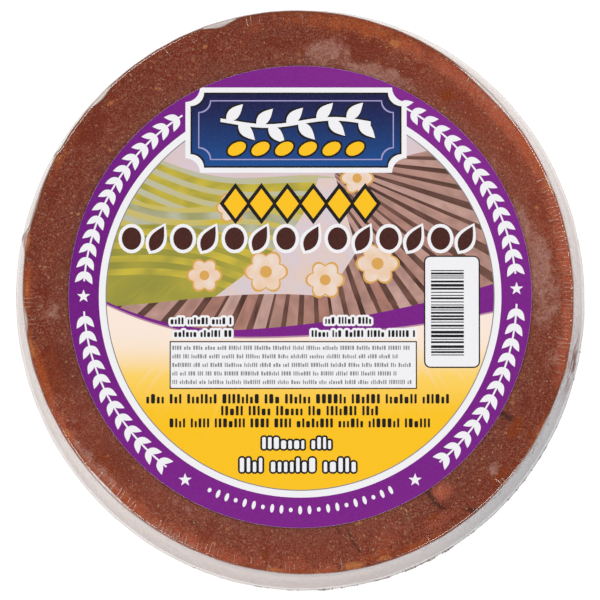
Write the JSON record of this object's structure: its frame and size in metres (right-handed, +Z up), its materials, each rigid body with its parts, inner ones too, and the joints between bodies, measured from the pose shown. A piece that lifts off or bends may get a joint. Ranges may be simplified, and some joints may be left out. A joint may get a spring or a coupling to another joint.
{
  "type": "round brown sugar block",
  "caption": "Thick round block of unrefined brown cane sugar, sealed in clear shrink film, with a round printed paper label on its flat top.",
  "frame": {"origin": "centre of the underside, on the surface the block lies on", "axes": "+Z up, out of the labelled face; +Y towards the top edge of the label's print; +X to its right"},
  "size_m": [0.1274, 0.1302, 0.0285],
  "materials": {
    "brown_sugar": "hard set cane sugar, smooth where it met the mould, with frosted patches, glassy patches and pale specks",
    "clear_film": "clear glossy shrink film, wrinkled at the rims and hazy where it is stretched over the side",
    "label_paper": "coated paper, printed in purple, cream, yellow and dark blue, slightly glossy"
  },
  "bodies": {
    "root": {"wrapped_block": "brown_sugar", "label": "label_paper"}
  },
  "joints": []
}
